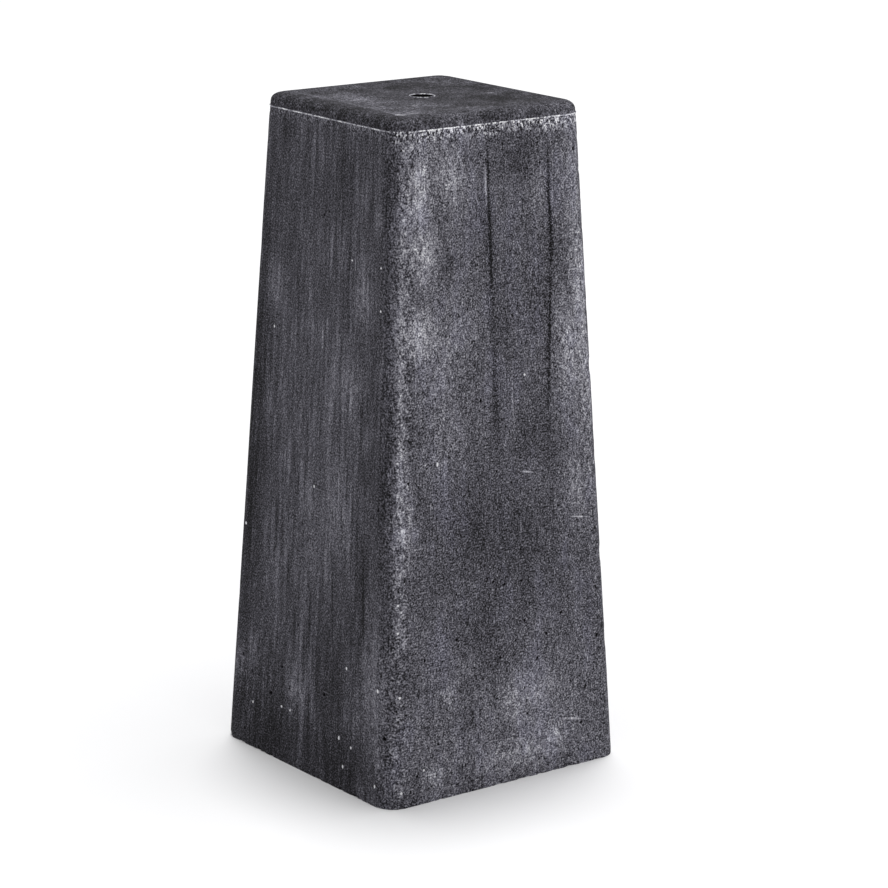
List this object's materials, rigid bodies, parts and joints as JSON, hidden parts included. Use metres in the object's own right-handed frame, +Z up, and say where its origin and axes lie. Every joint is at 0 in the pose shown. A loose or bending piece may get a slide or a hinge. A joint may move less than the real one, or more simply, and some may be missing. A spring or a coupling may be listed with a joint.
{
  "type": "column base block",
  "caption": "Tapered square block of dark cast concrete with rounded corners, a rounded crown and a rod hole in its flat top, carrying the foot of a timber column.",
  "frame": {"origin": "middle of the underside, on the ground it stands on", "axes": "+Z up along the block's middle line and the rod hole, X and Y square to the side faces"},
  "size_m": [0.219, 0.219, 0.5],
  "materials": {
    "anthracite_concrete": "matte"
  },
  "bodies": {
    "root": {"column_base_block": "anthracite_concrete"}
  },
  "joints": []
}
